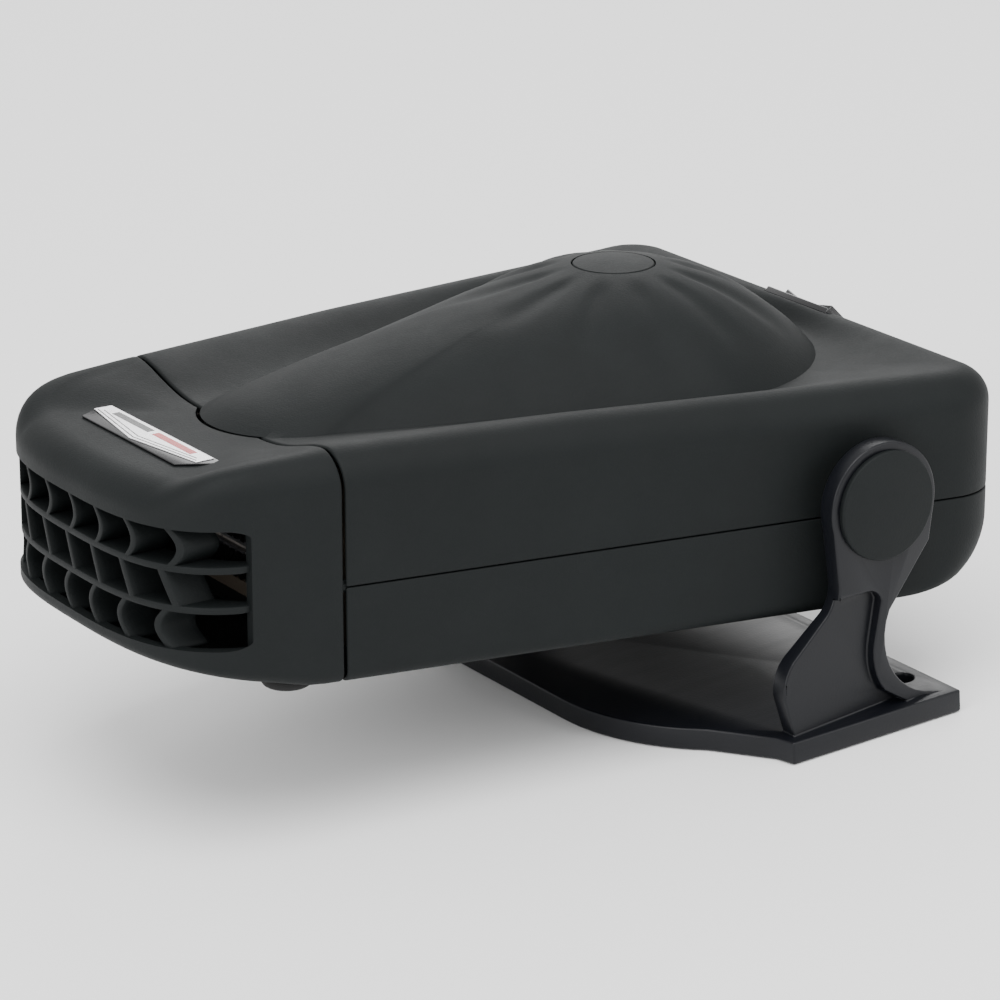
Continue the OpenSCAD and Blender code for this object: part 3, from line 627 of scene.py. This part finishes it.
def grille_tree():
    """Bowed ribs and cross bars in a flat sheet, then wrapped on the curve of the nose."""
    tree = geometry_tree("outlet_ribs", [
        ("Columns", COUNT), ("Rows", COUNT), ("Half width", FLOAT), ("Low", FLOAT), ("High", FLOAT),
        ("Rib", FLOAT), ("Depth", FLOAT), ("Bow", FLOAT), ("Lean", FLOAT), ("Finish", FINISH)])
    g = tree.given
    height = g["High"] - g["Low"]
    middle = (g["High"] + g["Low"]) * 0.5
    row_h = height / g["Rows"]
    pitch = g["Half width"] * 2.0 / g["Columns"]
    xyz = lambda x, y, z: tree.node("ShaderNodeCombineXYZ", {}, x, y, z)
    half_depth = g["Depth"] * 0.5
    ribs = tree.node("GeometryNodeMeshLine", {"mode": "OFFSET"}, Count=g["Columns"] - 1.0,
                     Start_Location=xyz(half_depth, pitch - g["Half width"], middle),
                     Offset=xyz(0.0, pitch, 0.0))
    blade = tree.node("GeometryNodeMeshCube", {}, Size=xyz(g["Depth"], g["Rib"], height + 1.6),
                      Vertices_X=6, Vertices_Y=2, Vertices_Z=49)
    ribs = tree.node("GeometryNodeInstanceOnPoints", {}, ribs, Instance=blade)
    ribs = tree.node("GeometryNodeRealizeInstances", {}, ribs)
    place = tree.node("GeometryNodeInputPosition", {})
    step = ((place.part("Z") - g["Low"]) / row_h).clamp(0.001, GRILLE_ROWS - 0.001)
    row = step.math("FLOOR")
    t = step - row
    side = row - 1.0
    bowed = (t * math.pi).math("SINE") * g["Bow"] * side
    lean = (t - 0.5) * g["Lean"] * (1.0 - side.math("ABSOLUTE"))
    ribs = tree.node("GeometryNodeSetPosition", {}, ribs,
                     Offset=xyz(0.0, lean - bowed, 0.0))
    bars = tree.node("GeometryNodeMeshLine", {"mode": "OFFSET"}, Count=g["Rows"] - 1.0,
                     Start_Location=xyz(half_depth, 0.0, g["Low"] + row_h),
                     Offset=xyz(0.0, 0.0, row_h))
    bar = tree.node("GeometryNodeMeshCube", {}, Size=xyz(g["Depth"], g["Half width"] * 2.0 - 2.0,
                                                         g["Rib"]),
                    Vertices_X=6, Vertices_Y=97, Vertices_Z=2)
    bars = tree.node("GeometryNodeInstanceOnPoints", {}, bars, Instance=bar)
    bars = tree.node("GeometryNodeRealizeInstances", {}, bars)
    both = tree.node("GeometryNodeJoinGeometry", {}, [ribs, bars])
    y = (place.part("Y").math("ABSOLUTE") / (NOSE_HALF - 0.5)).clamp(0.0, 0.985)
    front = (1.0 - y ** NOSE_POWER) ** (1.0 / NOSE_POWER) * (0.5 - NOSE_LEN) - NOSE_X
    both = tree.node("GeometryNodeSetPosition", {}, both, Offset=xyz(front, 0.0, 0.0))
    return end_geometry(tree, both)


def wheel_tree():
    """Curved blades round a hub between two rings."""
    tree = geometry_tree("wheel_blades", [
        ("Blades", COUNT), ("Radius", FLOAT), ("Chord", FLOAT), ("Thickness", FLOAT),
        ("Height", FLOAT), ("Finish", FINISH)])
    g = tree.given
    xyz = lambda x, y, z: tree.node("ShaderNodeCombineXYZ", {}, x, y, z)
    spots = tree.node("GeometryNodeMeshCircle", {}, Vertices=g["Blades"],
                      Radius=g["Radius"] - g["Chord"] * 0.5)
    blade = tree.node("GeometryNodeMeshCube", {}, Size=xyz(g["Chord"], g["Thickness"], g["Height"]),
                      Vertices_X=8, Vertices_Y=2, Vertices_Z=2)
    place = tree.node("GeometryNodeInputPosition", {})
    curl = place.part("X") * place.part("X") / g["Chord"] * 0.7
    blade = tree.node("GeometryNodeSetPosition", {}, blade, Offset=xyz(0.0, curl, 0.0))
    spot = tree.node("GeometryNodeInputPosition", {})
    turn = spot.part("Y").math("ARCTAN2", spot.part("X")) + math.radians(28.0)
    blades = tree.node("GeometryNodeInstanceOnPoints", {}, spots, Instance=blade,
                       Rotation=xyz(0.0, 0.0, turn))
    return end_geometry(tree, blades)


class HeaterShape(bpy.types.PropertyGroup):
    """Sizes that a user may change, in millimetres."""
    flute_count: bpy.props.IntProperty(name="Flutes", description="Scoops round the crown",
                                       default=12, min=0, max=36)
    flute_depth: bpy.props.FloatProperty(name="Flute depth", description="Depth of a scoop in mm",
                                         default=0.8, min=0.0, max=2.0)
    edge_roll: bpy.props.FloatProperty(name="Edge roll", description="Roll of the seam edges in mm",
                                       default=0.55, min=0.1, max=1.0)
    wall: bpy.props.FloatProperty(name="Wall", description="Wall of the shells in mm",
                                  default=2.2, min=1.0, max=3.0)
    columns: bpy.props.IntProperty(name="Grille columns", description="Openings across the outlet",
                                   default=8, min=4, max=12)
    rib: bpy.props.FloatProperty(name="Rib", description="Thickness of a rib in mm",
                                 default=1.5, min=0.8, max=2.5)
    blades: bpy.props.IntProperty(name="Blades", description="Blades of the fan wheel",
                                  default=24, min=8, max=36)


class HeaterFinish(bpy.types.PropertyGroup):
    """Colours and surfaces that a user may change."""
    housing: bpy.props.FloatVectorProperty(name="Housing", description="Colour of the housing",
                                           subtype="COLOR", size=3, min=0.0, max=1.0,
                                           default=(0.0042, 0.0056, 0.0058))
    bracket: bpy.props.FloatVectorProperty(name="Bracket", description="Colour of the bracket",
                                           subtype="COLOR", size=3, min=0.0, max=1.0,
                                           default=(0.0032, 0.0037, 0.0054))
    housing_roughness: bpy.props.FloatProperty(name="Housing roughness", subtype="FACTOR",
                                               description="How matt the housing is",
                                               default=0.62, min=0.1, max=1.0)
    bracket_roughness: bpy.props.FloatProperty(name="Bracket roughness", subtype="FACTOR",
                                               description="How matt the bracket is",
                                               default=0.36, min=0.1, max=1.0)
    grain: bpy.props.FloatProperty(name="Grain", description="Size of the housing's grain in mm",
                                   default=0.45, min=0.1, max=2.0)


class HeaterStudio(bpy.types.PropertyGroup):
    """Floor and lights."""
    floor: bpy.props.FloatVectorProperty(name="Floor", description="Colour of the floor",
                                         subtype="COLOR", size=3, min=0.0, max=1.0,
                                         default=(0.93, 0.93, 0.93))
    key: bpy.props.FloatProperty(name="Key light", description="Power of the overhead light in W",
                                 default=26.0, min=0.0)
    fill: bpy.props.FloatProperty(name="Fill light", description="Power of the side lights in W",
                                  default=10.0, min=0.0)
    sky: bpy.props.FloatProperty(name="Room light", description="Strength of the white room",
                                 default=1.15, min=0.0)


class HEATER_OT_shells(bpy.types.Operator):
    """Builds the upper shell, the lower shell and the nose cap"""
    bl_idname = "heater.shells"
    bl_label = "Housing shells"

    def execute(self, context):
        finishes()
        s = context.scene.heater_shape
        rows, zones = housing_rows(0.0, s.flute_count, s.flute_depth, True)
        bm = rows_to_bmesh(rows, zones)
        trim(bm, (0, 0, PARTING + PARTING_GAP), (0, 0, 1), PARTING_ROLL)
        trim(bm, (-SEAM_X + SEAM_GAP / 2, 0, 0), (1, 0, 0), s.edge_roll, BODY_ZONE)
        tilt45 = Matrix.Translation(SEAT) @ Matrix.Rotation(math.radians(45.0), 4, "Y")
        seat = box_cutter("seat", (BEZEL_W + 2 * BEZEL_PLAY, BEZEL_L + 2 * BEZEL_PLAY, CUT),
                          tilt45 @ Matrix.Translation((0, 0, CUT / 2)))
        well = box_cutter("well", (BEZEL_W - 2 * BEZEL_LEDGE, BEZEL_L - 2 * BEZEL_LEDGE, CUT),
                          tilt45)
        upper = walled(to_piece("housing_upper", bm), s.wall, [seat, well])
        stand_for(upper, "upper_shell")

        rows, zones = housing_rows(0.0, 0, 0.0, False)
        bm = rows_to_bmesh(rows, zones, (UNDER_X, 0.0, -BOTTOM))
        trim(bm, (0, 0, PARTING - PARTING_GAP), (0, 0, -1), PARTING_ROLL)
        trim(bm, (-SEAM_X + SEAM_GAP / 2, 0, 0), (1, 0, 0), s.edge_roll)
        fan = cylinder_cutter("fan_hole", GUARD_HOLE, 30.0, Matrix.Translation((FAN_X, 0, -BOTTOM)))
        lower = walled(to_piece("housing_lower", bm), s.wall, [fan])
        stand_for(lower, "lower_shell")

        rows, zones = housing_rows(SEAM_GAP + 0.3, 0, 0.0, False)
        bm = rows_to_bmesh(rows, zones, (UNDER_X, 0.0, -BOTTOM))
        trim(bm, (-SEAM_X - SEAM_GAP / 2, 0, 0), (-1, 0, 0), s.edge_roll)
        mouth = rounded_bar(2 * MOUTH_HALF, MOUTH_HIGH - MOUTH_LOW, 2 * CUT, MOUTH_CORNER)
        mouth = to_piece("mouth", mouth, TILT @ scaled(Matrix.Translation(
            (MOUTH_X - CUT, 0.0, (MOUTH_HIGH + MOUTH_LOW) / 2))))
        nose = walled(to_piece("housing_nose", bm), s.wall, [mouth])
        stand_for(nose, "nose_cap")
        return {"FINISHED"}


class HEATER_OT_disc(bpy.types.Operator):
    """Builds the crowned disc in the top of the dome"""
    bl_idname = "heater.disc"
    bl_label = "Crown disc"

    def execute(self, context):
        finishes()
        r_out, steps = DISC_R - DISC_GAP, 96
        radii = [0.0, 3.0, 6.0, 8.5, r_out - 0.5, r_out - 0.25, r_out - 0.08, r_out]
        fall = [0.0, 0.0, 0.0, 0.0, 0.0, 0.06, 0.2, 0.5]
        rows = []
        for r, drop in zip(radii[1:], fall[1:]):
            xy = arc_points(DOME_X, 0.0, r, 0.0, 360.0, steps)[:-1]
            rows.append(ring3(xy, float(dome_height(np.array([[DOME_X + r, 0.0]]))[0]) - drop))
        rows.append(ring3(rows[-1][:, :2], rows[-1][0, 2] - DISC_T))
        bm = rows_to_bmesh(rows, [0] * (len(rows) - 1), (DOME_X, 0.0, CROWN))
        bmesh.ops.holes_fill(bm, edges=[e for e in bm.edges if e.is_boundary])
        bmesh.ops.recalc_face_normals(bm, faces=bm.faces)
        disc = to_piece("crown_disc", bm)
        shade(disc.data)
        stand_for(disc, "dome_disc")
        return {"FINISHED"}


class HEATER_OT_grille(bpy.types.Operator):
    """Builds the curved ribs of the warm air outlet"""
    bl_idname = "heater.grille"
    bl_label = "Outlet grille"

    def execute(self, context):
        finishes()
        s = context.scene.heater_shape
        grille = link("outlet_ribs", bpy.data.meshes.new("outlet_ribs"))
        apply_tree(grille, grille_tree(), {
            "Columns": s.columns, "Rows": GRILLE_ROWS, "Half width": MOUTH_HALF,
            "Low": MOUTH_LOW, "High": MOUTH_HIGH, "Rib": s.rib, "Depth": GRILLE_DEPTH,
            "Bow": RIB_BOW, "Lean": RIB_LEAN,
            "Finish": finish_named("housing_plastic")})
        grille.data.transform(TILT @ Matrix.Scale(MM, 4))
        soft = grille.modifiers.new("edge", "BEVEL")
        soft.width, soft.segments = 0.3 * MM, 2
        soft.limit_method, soft.angle_limit = "ANGLE", math.radians(60.0)
        soft.use_clamp_overlap = False
        settle(grille)
        shade(grille.data, 40.0)
        stand_for(grille, "outlet_grille")
        return {"FINISHED"}


class HEATER_OT_fan(bpy.types.Operator):
    """Builds the fan wheel behind the intake guard"""
    bl_idname = "heater.fan"
    bl_label = "Fan wheel"

    def execute(self, context):
        finishes()
        s = context.scene.heater_shape
        wheel = link("fan_blades", bpy.data.meshes.new("fan_blades"))
        apply_tree(wheel, wheel_tree(), {
            "Blades": s.blades, "Radius": WHEEL_R, "Chord": BLADE_CHORD, "Thickness": BLADE_T,
            "Height": BLADE_H,
            "Finish": finish_named("inner_plastic")})
        bm = bmesh.new()
        bm.from_mesh(wheel.data)
        bmesh.ops.translate(bm, verts=bm.verts, vec=(0.0, 0.0, BLADE_MID))
        for section in (
                [(1.5, -2.2), (36.0, -2.2), (36.0, -1.0), (1.5, -1.0)],
                [(27.0, -18.5), (36.0, -18.5), (36.0, -17.3), (27.0, -17.3)],
                [(1.5, -12.0), (6.0, -12.0), (5.0, -1.6), (1.5, -1.6)]):
            rings = [[bm.verts.new((r * math.cos(a), r * math.sin(a), z))
                      for a in np.radians(np.arange(0.0, 360.0, 3.75))] for r, z in section]
            for j, ring in enumerate(rings):
                after = rings[(j + 1) % len(rings)]
                for i in range(len(ring)):
                    k = (i + 1) % len(ring)
                    bm.faces.new((ring[i], ring[k], after[k], after[i]))
        bmesh.ops.recalc_face_normals(bm, faces=bm.faces)
        bm.transform(TILT @ Matrix.Translation((FAN_X * MM, 0.0, 0.0)) @ Matrix.Scale(MM, 4))
        bm.to_mesh(wheel.data)
        bm.free()
        shade(wheel.data)
        stand_for(wheel, "fan_wheel")
        return {"FINISHED"}


class HEATER_OT_bracket(bpy.types.Operator):
    """Builds the yoke bracket and its caps with softened edges"""
    bl_idname = "heater.bracket"
    bl_label = "Bracket"

    def execute(self, context):
        finishes()
        softened("bracket_yoke", "yoke_bracket", 0.45)
        softened("bracket_caps", "pivot_caps", 0.3, 2, "housing_plastic")
        return {"FINISHED"}


class HEATER_OT_trim(bpy.types.Operator):
    """Builds the badge, feet, guard, switch and gland with softened edges"""
    bl_idname = "heater.trim"
    bl_label = "Trim"

    def execute(self, context):
        finishes()
        softened("badge_backing", "badge_plate", 0.15, 2)
        softened("foot_pads", "front_feet", 0.2, 2)
        softened("fan_guard", "intake_guard", 0.25, 2)
        softened("switch_frame", "switch_bezel", 0.25, 2)
        softened("switch_rocker", "rocker", 0.3, 3)
        softened("cord_gland", "cable_gland", 0.3, 2)
        softened("badge_face", "badge_inlay", 0.06, 1)
        bands = [
            ("badge_line_outer", [(-131.2, -20.2), (-134.2, 0.0), (-131.2, 20.2)], 0.28,
             "badge_ink_dark"),
            ("badge_line_inner", [(-130.4, -19.0), (-133.1, 0.0), (-130.4, 19.0)], 0.22,
             "badge_ink_dark"),
            ("badge_dash_dark", [(-129.4, 1.2), (-129.4, 16.0)], 1.7, "badge_ink_dark"),
            ("badge_dash_red", [(-129.4, -16.0), (-129.4, -0.6)], 1.7, "badge_ink_red")]
        for name, path, width, ink in bands:
            bm = bmesh.new()
            pts = np.array(path)
            tops, lows = [], []
            for off in (-width / 2, width / 2):
                tops.append([bm.verts.new((x + off, y, BADGE_TOP + 0.05)) for x, y in pts])
                lows.append([bm.verts.new((x + off, y, BADGE_TOP - 0.06)) for x, y in pts])
            for i in range(len(pts) - 1):
                bm.faces.new((tops[0][i], tops[1][i], tops[1][i + 1], tops[0][i + 1]))
                bm.faces.new((lows[0][i], lows[0][i + 1], lows[1][i + 1], lows[1][i]))
                for side in (0, 1):
                    bm.faces.new((tops[side][i], tops[side][i + 1], lows[side][i + 1],
                                  lows[side][i]))
            for i in (0, -1):
                bm.faces.new((tops[0][i], lows[0][i], lows[1][i], tops[1][i]))
            bmesh.ops.recalc_face_normals(bm, faces=bm.faces)
            strip = to_piece(name, bm)
            strip.data.materials.append(finish_named(ink))
            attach(strip, "heater")
        return {"FINISHED"}


class HEATER_OT_inner(bpy.types.Operator):
    """Gives every carried-over CAD node its finish"""
    bl_idname = "heater.inner"
    bl_label = "Inner parts"

    def execute(self, context):
        finishes()
        for name, node in frame["nodes"].items():
            if not node.hide_render:
                if not node.material_slots:
                    node.data.materials.append(None)
                for place in node.material_slots:
                    place.link = "OBJECT"
                    place.material = finish_named(slot_of(name))
        return {"FINISHED"}


class HEATER_OT_stage(bpy.types.Operator):
    """Builds the floor, the lights and the camera"""
    bl_idname = "heater.stage"
    bl_label = "Stage"

    def execute(self, context):
        st = context.scene.heater_studio
        bm = bmesh.new()
        bmesh.ops.create_grid(bm, x_segments=8, y_segments=8, size=4000.0)
        floor = to_piece("studio_floor", bm, Matrix.Translation((0.0, 0.0, -0.0002)))
        floor.data.materials.append(floor_paper("floor_paper", st.floor))
        lights = [("key", (-0.3, -0.5, 1.5), st.key, 1.4), ("left", (-1.5, -0.5, 0.7), st.fill, 0.9),
                  ("right", (0.9, -1.4, 0.8), st.fill * 0.7, 0.9),
                  ("back", (0.9, 1.3, 1.0), st.fill * 0.9, 1.0)]
        for name, spot, power, size in lights:
            data = bpy.data.lights.new("studio_" + name, "AREA")
            data.energy, data.shape, data.size = power, "DISK", size
            lamp = bpy.data.objects.new("studio_" + name, data)
            lamp.location = spot
            lamp.rotation_euler = (PIVOT - Vector(spot)).to_track_quat("-Z", "Y").to_euler()
            context.scene.collection.objects.link(lamp)
        world = bpy.data.worlds.new("studio_room")
        world.use_nodes = True
        world.node_tree.nodes["Background"].inputs["Color"].default_value = (1, 1, 1, 1)
        world.node_tree.nodes["Background"].inputs["Strength"].default_value = st.sky
        context.scene.world = world
        data = bpy.data.cameras.new("view")
        data.lens, data.sensor_width, data.clip_start = CAMERA_LENS, 36.0, 0.02
        camera = bpy.data.objects.new("view", data)
        axes = Matrix((CAMERA_RIGHT, -CAMERA_DOWN, -CAMERA_AHEAD)).transposed()
        camera.matrix_world = Matrix.Translation(PIVOT + CAMERA_AT) @ axes.to_4x4()
        context.scene.collection.objects.link(camera)
        context.scene.camera = camera
        return {"FINISHED"}


STEPS = (HEATER_OT_shells, HEATER_OT_disc, HEATER_OT_grille, HEATER_OT_fan, HEATER_OT_bracket,
         HEATER_OT_trim, HEATER_OT_inner, HEATER_OT_stage)


class HEATER_PT_panel(bpy.types.Panel):
    """Lists the sizes, the finishes and the building steps"""
    bl_idname = "HEATER_PT_panel"
    bl_label = "Cabin heater"
    bl_space_type = "VIEW_3D"
    bl_region_type = "UI"
    bl_category = "Heater"

    def draw(self, context):
        scene = context.scene
        for group in (scene.heater_shape, scene.heater_finish, scene.heater_studio):
            box = self.layout.box()
            for name in group.__annotations__:
                box.prop(group, name)
        for step in STEPS:
            self.layout.operator(step.bl_idname)


CLASSES = (HeaterShape, HeaterFinish, HeaterStudio) + STEPS + (HEATER_PT_panel,)


def register():
    for cls in CLASSES:
        bpy.utils.register_class(cls)
    bpy.types.Scene.heater_shape = bpy.props.PointerProperty(type=HeaterShape)
    bpy.types.Scene.heater_finish = bpy.props.PointerProperty(type=HeaterFinish)
    bpy.types.Scene.heater_studio = bpy.props.PointerProperty(type=HeaterStudio)


def unregister():
    del bpy.types.Scene.heater_shape, bpy.types.Scene.heater_finish, bpy.types.Scene.heater_studio
    for cls in reversed(CLASSES):
        bpy.utils.unregister_class(cls)


def main():
    register()
    for step in STEPS:
        group, name = step.bl_idname.split(".")
        getattr(getattr(bpy.ops, group), name)()


if __name__ == "__main__":
    main()
